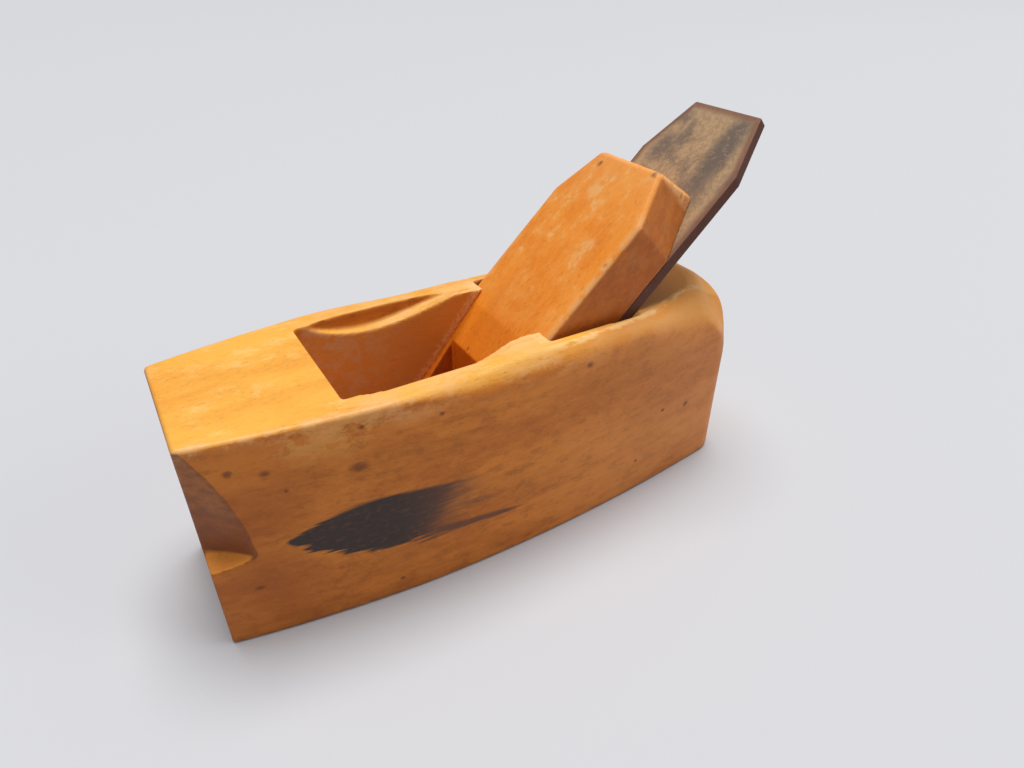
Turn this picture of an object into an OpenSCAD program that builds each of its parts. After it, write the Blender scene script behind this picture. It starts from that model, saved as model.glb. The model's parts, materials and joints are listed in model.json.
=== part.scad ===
// Small wooden smoothing plane in the coffin shape: a stock of one block of wood, a single iron
// with a facing of hard steel, and the wedge that holds the iron on its bed.
// X runs from toe to heel and Z is up. The origin is the middle of the sole.

/* [Stock] */
// Length from toe to heel
stock_len = 166; // [160:1:172]
// Height from the sole to the top
stock_h = 62; // [60:1:65]
// Width at the widest point
stock_w = 56.4; // [54:0.2:60]
// Distance from the toe to the widest point
widest_at = 76; // [72:1:80]
// Radius of each side, seen from above, in front of the widest point
fore_side_r = 350; // [340:10:400]
// Radius of each side, seen from above, behind the widest point
aft_side_r = 575; // [500:25:650]
// Easing of the top edges
edge_ease = 2; // [0.5:0.5:3]
// Rounding of the upright corners of the heel
heel_corner_r = 9; // [6:1:10]
// Rounding of the top edge of the heel
heel_top_r = 19; // [12:1:22]

/* [Toe hollows] */
// Radius of the gouge that cuts each hollow
hollow_r = 20; // [16:1:24]
// How deep the hollow is at its foot, measured in from the corner
hollow_deep = 9; // [6:0.5:10]
// How deep the hollow is at the top of the stock
hollow_top_deep = 0.8; // [0.2:0.2:2]
// Height of the foot of the hollow above the sole
hollow_foot_z = 22; // [18:1:28]

/* [Bed and throat] */
// Angle between the sole and the bed
bed_angle = 43; // [42:1:45]
// Distance from the toe to the foot of the bed
bed_foot = 57.3; // [56:0.1:59]
// Distance from the toe to the front edge of the throat in the top
throat_front = 37; // [35:1:40]
// Distance from the toe to the front edge of the mouth in the sole
mouth_front = 50.6; // [50:0.1:51]
// Width of the throat at its front edge
throat_w = 38.6; // [37:0.2:40]
// Width between the abutments at the top
abutment_gap = 30; // [28:0.5:32]
// Width of the wedge grooves at the top
groove_top_w = 43.4; // [42:0.2:44]
// Width of the mouth
mouth_w = 40.8; // [40.2:0.2:42]
// Width of the scooped edge of each cheek at the front of the throat
scoop_w = 2; // [1:0.5:3]
// Depth of the scooped edge of each cheek at its outer lip
scoop_deep = 4; // [3:0.5:5]
// Length of the scooped edge of each cheek
scoop_len = 46; // [38:2:48]
// How far the scooped edge leans down into the throat
scoop_lean = 16; // [0:1:20]

/* [Iron] */
// Width of the iron
iron_w = 39.4; // [38:0.2:40]
// Thickness of the iron
iron_t = 3.3; // [2.8:0.1:3.6]
// Length of the iron along the bed, from the level of the sole
iron_len = 154.6; // [145:0.2:160]
// Width left at the top end between the clipped corners
iron_top_w = 26; // [22:1:30]
// Length of the clipped corners
iron_clip_len = 19; // [14:1:24]
// Angle of the ground bevel
bevel_angle = 27; // [25:1:30]
// Length of the steel facing
steel_len = 60; // [50:1:70]
// Thickness of the steel facing
steel_t = 1.1; // [0.8:0.1:1.4]

/* [Wedge] */
// Width of the wedge
wedge_w = 39.6; // [38.6:0.2:40]
// Angle between the two faces that grip
wedge_taper = 8.6; // [7.5:0.1:10]
// Thickness of the wedge above the bend in its front face
wedge_t = 16.8; // [15:0.2:18]
// Distance along the bed to the top of the wedge
wedge_top = 124; // [115:1:128]
// Width left at the top of the wedge between its clipped corners
wedge_top_w = 24.6; // [22:0.2:28]
// Length of the wedge's clipped corners
wedge_clip_len = 18; // [14:1:22]
// Distance along the bed to the tips of the prongs
prong_tip = 16; // [12:1:24]
// Gap between the prongs
prong_gap = 29; // [28:0.5:30]

/* [Hidden] */
$fn = 64;
// Running gap between flat faces of pieces that slide on each other
slip = 0.05;
// Height of the cutting edge above the sole, with the iron drawn back a little
edge_lift = 0.2;
// Overrun of each cutting solid past the surface that it cuts
past = 2;
// Segments of the very large arcs of the sides
long_arc_fn = 720;
abutment_angle = bed_angle + wedge_taper;
// Distance from the toe to the abutment's front edge, level with the top
abutment_top_x = 93.1;
iron_face_n = slip + iron_t;
wedge_foot_n = iron_face_n + slip;

// How far the front wall of the throat runs back for each millimetre of depth
front_slope = (mouth_front - throat_front) / stock_h;

// Half the width of the plain curved sides at a distance from the toe
function half_width(x) =
    let (r = x < widest_at ? fore_side_r : aft_side_r)
    stock_w / 2 - r + sqrt(r * r - pow(x - widest_at, 2));

// Distance from the toe to the abutment plane at height z
function abutment_x(z) = abutment_top_x - (stock_h - z) / tan(abutment_angle);

// Height at which the front wall of the throat meets the abutment plane
front_meets_abutment_z =
    (mouth_front - abutment_x(0)) / (1 / tan(abutment_angle) + front_slope);

// Height above the bed of the abutment plane, at distance t along the bed
function abutment_n(t) =
    let (
        n0 = (bed_foot - abutment_x(0)) * sin(abutment_angle) / cos(wedge_taper)
    )
    n0 + t * tan(wedge_taper);

// Places its child in the bed's frame: X up along the bed, Z out from it
module on_bed() {
    translate([bed_foot, 0, 0])
        rotate([0, -bed_angle, 0])
            children();
}

// Turns a side view drawn in X and Y into a slab of the given width, standing in X and Z
module side_view(width) {
    rotate([90, 0, 0])
        linear_extrude(width, center = true)
            children();
}

// A disc with its top edge eased off by a cone, whose rim is the curve of one side
module side_disc(r) {
    translate([widest_at, stock_w / 2 - r, 0])
        intersection() {
            cylinder(r = r, h = stock_h, $fn = long_arc_fn);
            cylinder(r1 = r + stock_h - edge_ease, r2 = r - edge_ease, h = stock_h, $fn = long_arc_fn);
        }
}

// The part between both curved sides, from from_x to to_x
module between_sides(r, from_x, to_x) {
    intersection() {
        side_disc(r);
        mirror([0, 1, 0])
            side_disc(r);
        translate([from_x, -stock_w, 0])
            cube([to_x - from_x, 2 * stock_w, stock_h]);
    }
}

// Rounds the top edge of the heel
module heel_top_cutter() {
    side_view(2 * stock_w)
        translate([stock_len - heel_top_r, stock_h - heel_top_r])
            difference() {
                square(heel_top_r + past);
                circle(heel_top_r);
            }
}

// Rounds one upright corner of the heel
module heel_corner_cutter() {
    corner_x = stock_len - heel_corner_r;
    translate([corner_x, half_width(corner_x) - heel_corner_r, -past])
        linear_extrude(stock_h + 2 * past)
            difference() {
                square(heel_corner_r + past);
                circle(heel_corner_r);
            }
}

// The stopped hollow at one toe corner: a leaning gouge cut, deepest at its foot
module toe_hollow_cutter() {
    rise = stock_h - hollow_foot_z;
    lean = atan((hollow_deep - hollow_top_deep) / rise);
    translate([0, half_width(0), hollow_foot_z])
        rotate([0, 0, 135])
            translate([hollow_r - hollow_deep, 0, 0])
                rotate([0, lean, 0])
                    cylinder(r = hollow_r, h = rise + 10 * past);
}

// The slot for the iron and the wedge, between the bed and the abutments
module slot_cutter() {
    top_x = bed_foot + (stock_h + past) / tan(bed_angle);
    intersection() {
        side_view(stock_w)
            polygon([
                [mouth_front, -past],
                [bed_foot - past / tan(bed_angle), -past],
                [top_x, stock_h + past],
                [abutment_x(stock_h + past), stock_h + past],
                [abutment_x(front_meets_abutment_z), front_meets_abutment_z]
            ]);
        linear_extrude(4 * stock_h, center = true)
            polygon([
                [mouth_front - 2 * past, -mouth_w / 2],
                [bed_foot, -mouth_w / 2],
                [top_x, -groove_top_w / 2],
                [top_x, groove_top_w / 2],
                [bed_foot, mouth_w / 2],
                [mouth_front - 2 * past, mouth_w / 2]
            ]);
    }
}

// The open throat in front of the abutments, narrowing towards them
module throat_cutter() {
    intersection() {
        side_view(stock_w)
            polygon([
                [throat_front - front_slope * past, stock_h + past],
                [mouth_front, 0],
                [bed_foot, 0],
                [abutment_x(stock_h + past) + past, stock_h + past]
            ]);
        linear_extrude(4 * stock_h, center = true)
            polygon([
                [throat_front - past, -throat_w / 2],
                [throat_front, -throat_w / 2],
                [abutment_top_x, -abutment_gap / 2],
                [abutment_top_x + past, -abutment_gap / 2],
                [abutment_top_x + past, abutment_gap / 2],
                [abutment_top_x, abutment_gap / 2],
                [throat_front, throat_w / 2],
                [throat_front - past, throat_w / 2]
            ]);
    }
}

// The hollow along the top edge of one cheek: a long shallow dip that leans down into the throat
module scoop_cutter() {
    dip_r = (pow(scoop_len / 2, 2) + pow(scoop_deep, 2)) / (2 * scoop_deep);
    translate([throat_front + scoop_len / 2 + 3 * past, throat_w / 2 + scoop_w, stock_h - scoop_deep])
        rotate([90 + scoop_lean, 0, 0])
            translate([0, dip_r, 0])
                cylinder(r = dip_r, h = 4 * scoop_w, $fn = 180);
}

module stock() {
    color("peru")
        translate([-stock_len / 2, 0, 0])
            difference() {
                union() {
                    between_sides(fore_side_r, 0, widest_at);
                    between_sides(aft_side_r, widest_at, stock_len);
                }
                heel_top_cutter();
                slot_cutter();
                throat_cutter();
                for (side = [0, 1])
                    mirror([0, side, 0]) {
                        heel_corner_cutter();
                        toe_hollow_cutter();
                        scoop_cutter();
                    }
            }
}

// Outline of the iron seen square on, with its clipped top corners
module iron_outline(from_t) {
    polygon([
        [from_t, -iron_w / 2],
        [iron_len - iron_clip_len, -iron_w / 2],
        [iron_len, -iron_top_w / 2],
        [iron_len, iron_top_w / 2],
        [iron_len - iron_clip_len, iron_w / 2],
        [from_t, iron_w / 2]
    ]);
}

// Distance along the bed to the cutting edge, which is on the iron's upper face
edge_t = (edge_lift - iron_face_n * cos(bed_angle)) / sin(bed_angle);
bevel_len = iron_t / tan(bevel_angle);
steel_bevel_len = steel_t / tan(bevel_angle);
steel_end_t = edge_t + steel_len;
steel_foot_n = iron_face_n - steel_t;

module iron() {
    color("dimgray")
        translate([-stock_len / 2, 0, 0])
            on_bed()
                intersection() {
                    side_view(iron_w)
                        polygon([
                            [edge_t + bevel_len, slip],
                            [iron_len, slip],
                            [iron_len, iron_face_n],
                            [steel_end_t, iron_face_n],
                            [steel_end_t - 2 * steel_t, steel_foot_n],
                            [edge_t + steel_bevel_len, steel_foot_n]
                        ]);
                    linear_extrude(2 * iron_t)
                        iron_outline(edge_t - past);
                }
}

module cutting_steel() {
    color("lightslategray")
        translate([-stock_len / 2, 0, 0])
            on_bed()
                side_view(iron_w)
                    polygon([
                        [edge_t, iron_face_n],
                        [edge_t + steel_bevel_len, steel_foot_n],
                        [steel_end_t - 2 * steel_t, steel_foot_n],
                        [steel_end_t, iron_face_n]
                    ]);
}

// The wedge from the side: gripping taper below, then a parallel upper half
module wedge_profile() {
    bend_n = wedge_foot_n + wedge_t;
    bend_t = (bend_n + slip - abutment_n(0)) / tan(wedge_taper);
    top_lean = 4;
    tip_n = abutment_n(prong_tip) - slip;
    polygon([
        [prong_tip, wedge_foot_n],
        [wedge_top + top_lean / 2, wedge_foot_n],
        [wedge_top - top_lean / 2, bend_n],
        [bend_t, bend_n],
        [prong_tip + tip_n / 2, abutment_n(prong_tip + tip_n / 2) - slip],
        [prong_tip, (wedge_foot_n + tip_n) / 2]
    ]);
}

module wedge_outline() {
    shoulder_t = wedge_top - wedge_clip_len;
    polygon([
        [prong_tip - past, -wedge_w / 2],
        [shoulder_t, -wedge_w / 2],
        [wedge_top, -wedge_top_w / 2],
        [wedge_top + 2 * past, -wedge_top_w / 2],
        [wedge_top + 2 * past, wedge_top_w / 2],
        [wedge_top, wedge_top_w / 2],
        [shoulder_t, wedge_w / 2],
        [prong_tip - past, wedge_w / 2]
    ]);
}

module wedge() {
    // Distance from the toe to the upright end cut between the prongs
    end_cut_x = 82.1;
    color("sandybrown")
        translate([-stock_len / 2, 0, 0])
            difference() {
                on_bed()
                    intersection() {
                        side_view(wedge_w)
                            wedge_profile();
                        linear_extrude(2 * wedge_t)
                            wedge_outline();
                    }
                translate([0, -prong_gap / 2, -past])
                    cube([end_cut_x, prong_gap, stock_h]);
            }
}

stock();
iron();
cutting_steel();
wedge();
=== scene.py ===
# %% [markdown]
# # A small wooden smoothing plane
# The real object is a block of beech in the coffin shape, a single iron lying on a slanted bed, and
# a wedge that holds it there. Each of those pieces is modelled here around the fixed frame: the
# frame says where everything is and how big it is, and this file gives it its worn shape and finish.

# %% Load the frame
import json
import math

import bmesh
import bpy
from mathutils import Matrix, Vector, noise


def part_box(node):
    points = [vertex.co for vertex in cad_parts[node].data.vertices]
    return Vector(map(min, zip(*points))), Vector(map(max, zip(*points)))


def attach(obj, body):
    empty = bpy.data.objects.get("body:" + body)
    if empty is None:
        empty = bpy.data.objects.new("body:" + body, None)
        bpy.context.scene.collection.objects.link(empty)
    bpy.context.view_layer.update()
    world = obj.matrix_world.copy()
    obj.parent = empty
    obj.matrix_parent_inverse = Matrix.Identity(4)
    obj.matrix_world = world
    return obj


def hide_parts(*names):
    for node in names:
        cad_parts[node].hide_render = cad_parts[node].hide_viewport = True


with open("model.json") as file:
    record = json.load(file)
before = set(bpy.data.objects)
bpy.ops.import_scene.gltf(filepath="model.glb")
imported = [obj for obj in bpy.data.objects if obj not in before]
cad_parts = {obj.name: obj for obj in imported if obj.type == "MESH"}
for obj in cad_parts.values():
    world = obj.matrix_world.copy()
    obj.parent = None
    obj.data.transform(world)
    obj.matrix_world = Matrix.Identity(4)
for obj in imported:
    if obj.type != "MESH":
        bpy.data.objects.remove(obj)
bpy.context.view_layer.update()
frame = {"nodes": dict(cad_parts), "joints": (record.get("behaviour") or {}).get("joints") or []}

MM = 0.001

# %% [markdown]
# ## Driving sizes
# The frame gives the outer sizes and the direction in which the iron slides. The few sizes that a
# box can't tell, such as where the throat starts, are the plane's own and are named here once.
# Lengths along the plane are counted from the toe.

# %% Sizes from the frame
stock_low, stock_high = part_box("stock")
iron_low, iron_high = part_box("iron")
toe = stock_low.x
length = stock_high.x - toe
half_width_max = stock_high.y
top = stock_high.z
slide = Vector(frame["joints"][0]["axis"])
out_from_bed = Vector((-slide.z, 0, slide.x))
bed_angle = math.atan2(slide.z, slide.x)
print(f"stock {length / MM:.1f} long, {2 * half_width_max / MM:.1f} wide, {top / MM:.1f} high")
print(f"bed angle {math.degrees(bed_angle):.1f} degrees")

# %% Sizes of the plane itself
widest = 76 * MM
fore_radius = 350 * MM
aft_radius = 575 * MM
heel_corner = 10.5 * MM
bed_foot = 57.3 * MM
throat_front = 37 * MM
throat_half = 19.3 * MM
mouth_front = 50.6 * MM
mouth_half = 20.4 * MM
abutment_top = 93.1 * MM
abutment_half = 15 * MM
wedge_taper = math.radians(8.6)
abutment_angle = bed_angle + wedge_taper
groove_half = 21.7 * MM
slip = 0.05 * MM
iron_thick = 3.3 * MM
iron_half = iron_high.y
voxel_stock = 0.5 * MM
voxel_wedge = 0.4 * MM
print(f"abutments at {math.degrees(abutment_angle):.1f} degrees")


# %% [markdown]
# ## Helpers for solid pieces
# Most pieces are cut from a blank, as in the workshop. A blank or a cutter is a stack of rings of
# points that `bridge_loops` skins over. Booleans do the cutting, and a fine voxel remesh followed by
# a little smoothing takes the sharpness off every arris.

# %% Ring, skin and cut helpers
def ease(value, start, end):
    """0 before start, 1 after end, and a smooth climb in between."""
    share = min(max((value - start) / (end - start), 0.0), 1.0)
    return share * share * (3 - 2 * share)


def at(along, across, up):
    """A point given by its distance from the toe, across the plane and above the sole."""
    return Vector((toe + along, across, up))


def on_bed(along, across, out):
    """A point given along the bed from the sole, across, and out from the bed."""
    foot = Vector((toe + bed_foot, 0, 0))
    return foot + slide * along + out_from_bed * out + Vector((0, across, 0))


def skin(name, rings):
    """A closed solid whose surface runs over a stack of closed rings with the same point count."""
    bm = bmesh.new()
    loops = []
    for ring in rings:
        points = [bm.verts.new(p) for p in ring]
        loops.append([bm.edges.new((a, b)) for a, b in zip(points, points[1:] + points[:1])])
    for lower, upper in zip(loops, loops[1:]):
        bmesh.ops.bridge_loops(bm, edges=lower + upper)
    for end in (loops[0], loops[-1]):
        bmesh.ops.edgeloop_fill(bm, edges=end)
    bmesh.ops.recalc_face_normals(bm, faces=bm.faces)
    return as_object(name, bm)


def as_object(name, bm):
    mesh = bpy.data.meshes.new(name)
    bm.to_mesh(mesh)
    bm.free()
    obj = bpy.data.objects.new(name, mesh)
    bpy.context.scene.collection.objects.link(obj)
    return obj


def settle(obj):
    """Makes the result of the object's modifiers its own mesh."""
    graph = bpy.context.evaluated_depsgraph_get()
    mesh = bpy.data.meshes.new_from_object(obj.evaluated_get(graph))
    obj.modifiers.clear()
    obj.data = mesh
    return obj


def cut(obj, *cutters):
    for cutter in cutters:
        saw = obj.modifiers.new(cutter.name, "BOOLEAN")
        saw.operation = "DIFFERENCE"
        saw.solver = "EXACT"
        saw.object = cutter
        settle(obj)
        bpy.data.objects.remove(cutter)


def wear(obj, voxel, passes, triangles):
    """Remeshes finely, rubs the arrises down, and thins the mesh where it is flat."""
    remesh = obj.modifiers.new("remesh", "REMESH")
    remesh.mode = "VOXEL"
    remesh.voxel_size = voxel
    rub = obj.modifiers.new("rub", "SMOOTH")
    rub.factor = 0.5
    rub.iterations = passes
    settle(obj)
    count = sum(len(p.vertices) - 2 for p in obj.data.polygons)
    if count > triangles:
        thin = obj.modifiers.new("thin", "DECIMATE")
        thin.ratio = triangles / count
        settle(obj)
    for polygon in obj.data.polygons:
        polygon.use_smooth = True
    print(obj.name, "has", len(obj.data.polygons), "faces")


def ripple(obj, depth, size, seed):
    """Pushes the surface in and out a little, as hand work and old wood do."""
    mesh = obj.data
    normals = [v.normal.copy() for v in mesh.vertices]
    offset = Vector((seed, seed * 1.7, seed * 0.3))
    for vertex, normal in zip(mesh.vertices, normals):
        vertex.co += normal * depth * noise.noise(vertex.co / size + offset)
    mesh.update()

# %% [markdown]
# ## The stock: blank
# The coffin shape is two long arcs on each side, tight rounded corners at the heel, and a top edge
# that is nearly sharp at the toe and opens into a broad, palm-polished rounding at the heel. Each
# ring is the outline at one height; the rings climb the sides and then turn in over the edge.

# %% Sides and rounding of the blank
heel_radius = 13.5 * MM
heel_drop = 8 * MM
toe_radius = 0.8 * MM
quarter = math.pi / 2


def side_at(along):
    """Half the width of the plain stock at a distance from the toe."""
    radius = fore_radius if along < widest else aft_radius
    return half_width_max - radius + math.sqrt(radius**2 - (along - widest) ** 2)


def edge_radius(along):
    """Rounding of the top edge: nearly sharp at the toe, and broad where the palm rests."""
    sharp, palm, heel = 1.0 * MM, 9.5 * MM, 25 * MM
    sharp_until, palm_from, heel_from = 38 * MM, 92 * MM, 120 * MM
    grown = sharp + (palm - sharp) * ease(along, sharp_until, palm_from)
    return grown + (heel - palm) * ease(along, heel_from, length - heel_corner)


def crease_angle(along):
    """How far the rounding turns before it meets the flat top, in a soft crease if under 90."""
    full_turn, short_turn = 90, 52
    full_until, short_from = 50 * MM, 90 * MM
    return math.radians(full_turn - (full_turn - short_turn) * ease(along, full_until, short_from))


def turn_in(radius, crease, share):
    """How far in and how far down a point of the rounding lies, from the side (0) to the top (1)."""
    angle = crease * share
    return radius * (1 - math.cos(angle)), radius * (math.sin(crease) - math.sin(angle))


def inset_side(along, share):
    """How far across the outline lies at a distance from the toe, in front of the heel corner."""
    return side_at(along) - turn_in(edge_radius(along), crease_angle(along), share)[0]


heel_half = side_at(length - 2 * heel_corner)
print(f"half width near the heel {heel_half / MM:.1f}")


# %% Outline of the blank
def long_side(start, end, share):
    """The long curved part of the outline, whose rounding dies away at the toe."""
    points = []
    steps, toe_run = 56, 3 * MM
    for i in range(steps + 1):
        along = start + (end - start) * i / steps
        near_toe = 1 - ease(along, 0, toe_run)
        radius = edge_radius(along) + (toe_radius - edge_radius(along)) * near_toe
        inward, down = turn_in(radius, crease_angle(along), share)
        points.append(at(along, side_at(along) - inward, top - down))
    return points


def upright_corner(centre, across, corner, taper, share, side_down, heel_down):
    """The heel's upright corner, where the rounding reaches lower than on the faces beside it."""
    points = []
    bends = 14
    for i in range(1, bends + 1):
        angle = (quarter - taper) * (1 - i / bends)
        down = side_down + (heel_down - side_down) * ease(i / bends, 0, 1)
        down += heel_drop * math.sin(math.pi * i / bends) ** 2 * (1 - math.sin(quarter * share))
        spot = (centre + corner * math.cos(angle), across + corner * math.sin(angle))
        points.append(at(*spot, top - down))
    return points


def half_outline(share):
    """One side of the outline, toe to heel, where share is 0 on the sides and 1 on top."""
    corner_growth, most_of_room, nearby = 18 * MM, 0.85, 1 * MM
    heel_in, heel_down = turn_in(heel_radius, quarter, share)
    turned = 1 - math.cos(quarter * share)
    room = heel_half - turn_in(edge_radius(length), crease_angle(length), share)[0]
    corner = min(heel_corner + corner_growth * turned, most_of_room * room)
    centre = length - heel_in - corner
    taper = math.atan2(inset_side(centre, share) - inset_side(centre + nearby, share), nearby)
    end = centre + corner * math.sin(taper)
    side_in, side_down = turn_in(edge_radius(end), crease_angle(end), share)
    across = side_at(end) - side_in - corner * math.cos(taper)
    points = long_side(toe_radius * turned, end, share)
    points += upright_corner(centre, across, corner, taper, share, side_down, heel_down)
    heel_steps = 8
    for i in range(1, heel_steps):
        points.append(at(centre + corner, across * (1 - i / heel_steps), top - heel_down))
    return points


def outline(share, height=None):
    """The whole outline as a closed ring, at one height if that is given."""
    near = half_outline(share)
    heel_in, heel_down = turn_in(heel_radius, quarter, share)
    middle = [at(length - heel_in, 0, top - heel_down)]
    far = [Vector((p.x, -p.y, p.z)) for p in reversed(near)]
    ring = near + middle + far
    if height is not None:
        ring = [Vector((p.x, p.y, height)) for p in ring]
    return ring


# %% Skin the blank
sole_ease = 0.5 * MM
turns = 12
rings = [outline(0, height) for height in (sole_ease, top / 4, top / 2)]
sole_share = Vector((1 - sole_ease / -toe, 1 - sole_ease / half_width_max, 0))
rings.insert(0, [p * sole_share for p in rings[0]])
rings += [outline(i / turns) for i in range(turns + 1)]
stock = skin("stock_wood", rings)
print("blank", stock.dimensions)

# %% [markdown]
# ## The stock: bed, grooves and throat
# A slanted slot takes the iron and the wedge. In front of it the throat opens upwards and narrows
# towards the abutments, the two steps that the wedge presses against. Both are prisms whose walls
# lean in plan, so each is skinned between a near and a far copy of its side view.

# %% Cut the slot and the throat
over = 4 * MM
bed_run = 1 / math.tan(bed_angle)
front_run = (mouth_front - throat_front) / top


def abutment_x(height):
    """Distance from the toe to the slanted abutments at a height above the sole."""
    return abutment_top - (top - height) / math.tan(abutment_angle)


def prism(name, profile, half_at):
    """A cutter from a side view of (along, up) corners, with a half width for each along."""
    near, far = ([at(along, side * half_at(along), up) for along, up in profile] for side in (-1, 1))
    return skin(name, [near, far])


def slot_side(along):
    """Half the width of the slot, which opens a little from the mouth to the top."""
    run = 66 * MM
    return mouth_half + (along - bed_foot) * (groove_half - mouth_half) / run


def throat_side(along):
    """Half the width of the throat, which narrows from its front to the abutments."""
    share = (along - throat_front) / (abutment_top - throat_front)
    return throat_half + (abutment_half - throat_half) * share


meet_z = (mouth_front - abutment_x(0)) / (1 / math.tan(abutment_angle) + front_run)
slot_profile = [
    (mouth_front, -over),
    (bed_foot - over * bed_run, -over),
    (bed_foot + (top + over) * bed_run, top + over),
    (abutment_x(top + over), top + over),
    (abutment_x(meet_z), meet_z),
]
throat_profile = [
    (throat_front - front_run * over, top + over),
    (mouth_front, 0),
    (bed_foot, 0),
    (abutment_x(top + over) + 0.5 * MM, top + over),
]
cut(stock, prism("slot", slot_profile, slot_side), prism("throat", throat_profile, throat_side))
print("slot and throat cut:", len(stock.data.polygons), "faces")

# %% [markdown]
# ## The stock: hollows and scooped cheeks
# The toe corners carry stopped hollows: shallow gouge cuts that start under the top, deepen on their
# way down and turn out again over a small ledge. The cheeks have a long finger scoop beside the
# throat. Each cutter is a row of rings whose size and place follow the depth of the cut.

# %% Rings of the toe hollows
def hollow_width(height):
    """How far the hollow reaches along the side, at a height above the sole."""
    foot, flare_top, widest_reach = 25.5 * MM, 27.7 * MM, 13 * MM
    wall_reach, wall_height, hardly = 10.2 * MM, 35.5 * MM, 0.3 * MM
    flare_reach, flare_height = 2.8 * MM, 2.5 * MM
    if height < flare_top:
        share = (flare_top - height) / (flare_top - foot)
        return widest_reach * math.sqrt(max(1 - share**2, 0))
    climb = height - flare_top
    wall = wall_reach * (1 - (climb / wall_height) ** 1.9)
    flare = flare_reach * math.exp(-((climb / flare_height) ** 2))
    return max(wall + flare, hardly)


def hollow_depth(height):
    """How far the hollow reaches across the toe face."""
    foot, full, bite = 25.4 * MM, 8.0 * MM, 0.3 * MM
    climb = max(height - foot, 0)
    fade = max(1 - 0.96 * (climb / (top - foot)) ** 1.25, 0.02)
    return full * min(climb / bite, 1) * fade


def cove(height):
    """How far the wall of the hollow stands out near its foot, where it turns into the ledge."""
    foot, rise, reach = 25.4 * MM, 8 * MM, 6.0 * MM
    left = max(1 - max(height - foot, 0) / rise, 0)
    return reach * (1 - math.sqrt(1 - left**2))


def hollow_ring(height, side):
    """The circle of the gouge at one height, through its two edges on the toe and the side."""
    sweep, count, nothing, clear = 45 * MM, 120, 0.2 * MM, 0.4 * MM
    on_side = Vector((hollow_width(height), side_at(hollow_width(height))))
    on_toe = Vector((0, side_at(0) - hollow_depth(height)))
    chord = on_side - on_toe
    if chord.length < nothing:
        outward = Vector((-1, 1)).normalized()
        centre = Vector((0, side_at(0))) + outward * (sweep + clear)
    else:
        outward = Vector((-chord.y, chord.x)).normalized()
        reach = math.sqrt(sweep**2 - chord.length_squared / 4) + cove(height)
        centre = (on_side + on_toe) / 2 + outward * reach
    points = []
    for i in range(count):
        angle = 2 * math.pi * i / count
        spot = centre + sweep * Vector((math.cos(angle), math.sin(angle)))
        points.append(at(spot.x, side * spot.y, height))
    return points


close_heights = [25.2 + 0.3 * i for i in range(27)]
wide_heights = [34 + 1.5 * i for i in range(21)]
hollows = [[hollow_ring(h * MM, hand) for h in close_heights + wide_heights] for hand in (-1, 1)]
print("rings in each hollow:", len(hollows[0]))


# %% Cut the hollows and the scoops
def scoop_ring(share, side):
    """One cut across the scoop: a steep outer wall, a tight corner and a nearly flat floor."""
    start, end, deep, corner = 39.5 * MM, 84 * MM, 5.6 * MM, 0.9 * MM
    wall_across, wall_lean, floor_rise, bends = 20.5 * MM, 2.4 * MM, 0.30, 8
    along = start + (end - start) * share
    inner = throat_side(along)
    sunk = deep * math.sin(math.pi * share**0.8)
    shallow = 1 - sunk / deep
    wall = wall_across - wall_lean * shallow**2.5
    ring = [at(along, side * (wall + 0.5 * MM), top + over)]
    for j in range(bends + 1):
        angle = quarter * j / bends
        across = wall - corner + corner * math.cos(angle)
        climb = corner * (1 - math.sin(angle)) + floor_rise * (across - inner)
        ring.append(at(along, side * across, top - sunk + climb * sunk / deep))
    ring.append(at(along, side * (inner - over), top - sunk - 0.4 * MM))
    ring.append(at(along, side * (inner - over), top + over))
    return ring


scoop_steps = 36
for hand, hollow_rings in zip((-1, 1), hollows):
    scoop_rings = [scoop_ring(i / scoop_steps, hand) for i in range(scoop_steps + 1)]
    cut(stock, skin("hollow", hollow_rings), skin("scoop", scoop_rings))
print("hollows and scoops cut:", len(stock.data.polygons), "faces")

# %% [markdown]
# ## The stock: wear
# Wood this old has no sharp edge left, and the wedge has dragged fibres out of the abutments. The
# fine remesh and a few rounds of smoothing do the first. For the second, noise pushes the points
# beside the slanted edges about. At the end the stock is held inside its box, on a flat sole.

# %% Rub the stock down
def torn_share(point):
    """1 on the slanted edges of the abutments, where fibres were dragged out, and 0 away from them."""
    full, gone = 0.8 * MM, 2.6 * MM
    run = (point.x - toe - abutment_top) * math.sin(abutment_angle)
    away = abs(run - (point.z - top) * math.cos(abutment_angle))
    near_edge = 1 - ease(abs(abs(point.y) - abutment_half - 0.6 * MM), full, 3 * MM)
    return near_edge * (1 - ease(away, full, gone)) * ease(point.z, 24 * MM, 32 * MM)


def tear(obj):
    """Raises and breaks the fibres along the abutments."""
    coarse, close = 1.1 * MM, 0.5 * MM
    to_wedge = Vector((math.sin(abutment_angle), 0, -math.cos(abutment_angle)))
    curl = Vector((-0.6, 0, 0.8))
    for vertex in obj.data.vertices:
        spot = vertex.co
        torn = torn_share(spot)
        if torn > 0:
            ragged = noise.noise(spot / coarse) + 0.6 * noise.noise(spot / close)
            vertex.co += to_wedge * torn * (0.35 + 0.5 * ragged) * MM
            vertex.co += curl * torn * ragged * 0.4 * MM
    obj.data.update()


def stay_inside(obj, low, high):
    """Keeps the piece within its CAD box, and its foot flat."""
    flat = 0.12 * MM
    for vertex in obj.data.vertices:
        for axis in range(3):
            vertex.co[axis] = min(max(vertex.co[axis], low[axis]), high[axis])
        if vertex.co.z < flat:
            vertex.co.z = 0
    obj.data.update()


wear(stock, voxel_stock, passes=5, triangles=180000)
ripple(stock, depth=0.10 * MM, size=22 * MM, seed=3)
tear(stock)
stay_inside(stock, stock_low, stock_high)
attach(stock, "stock")
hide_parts("stock")

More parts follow.
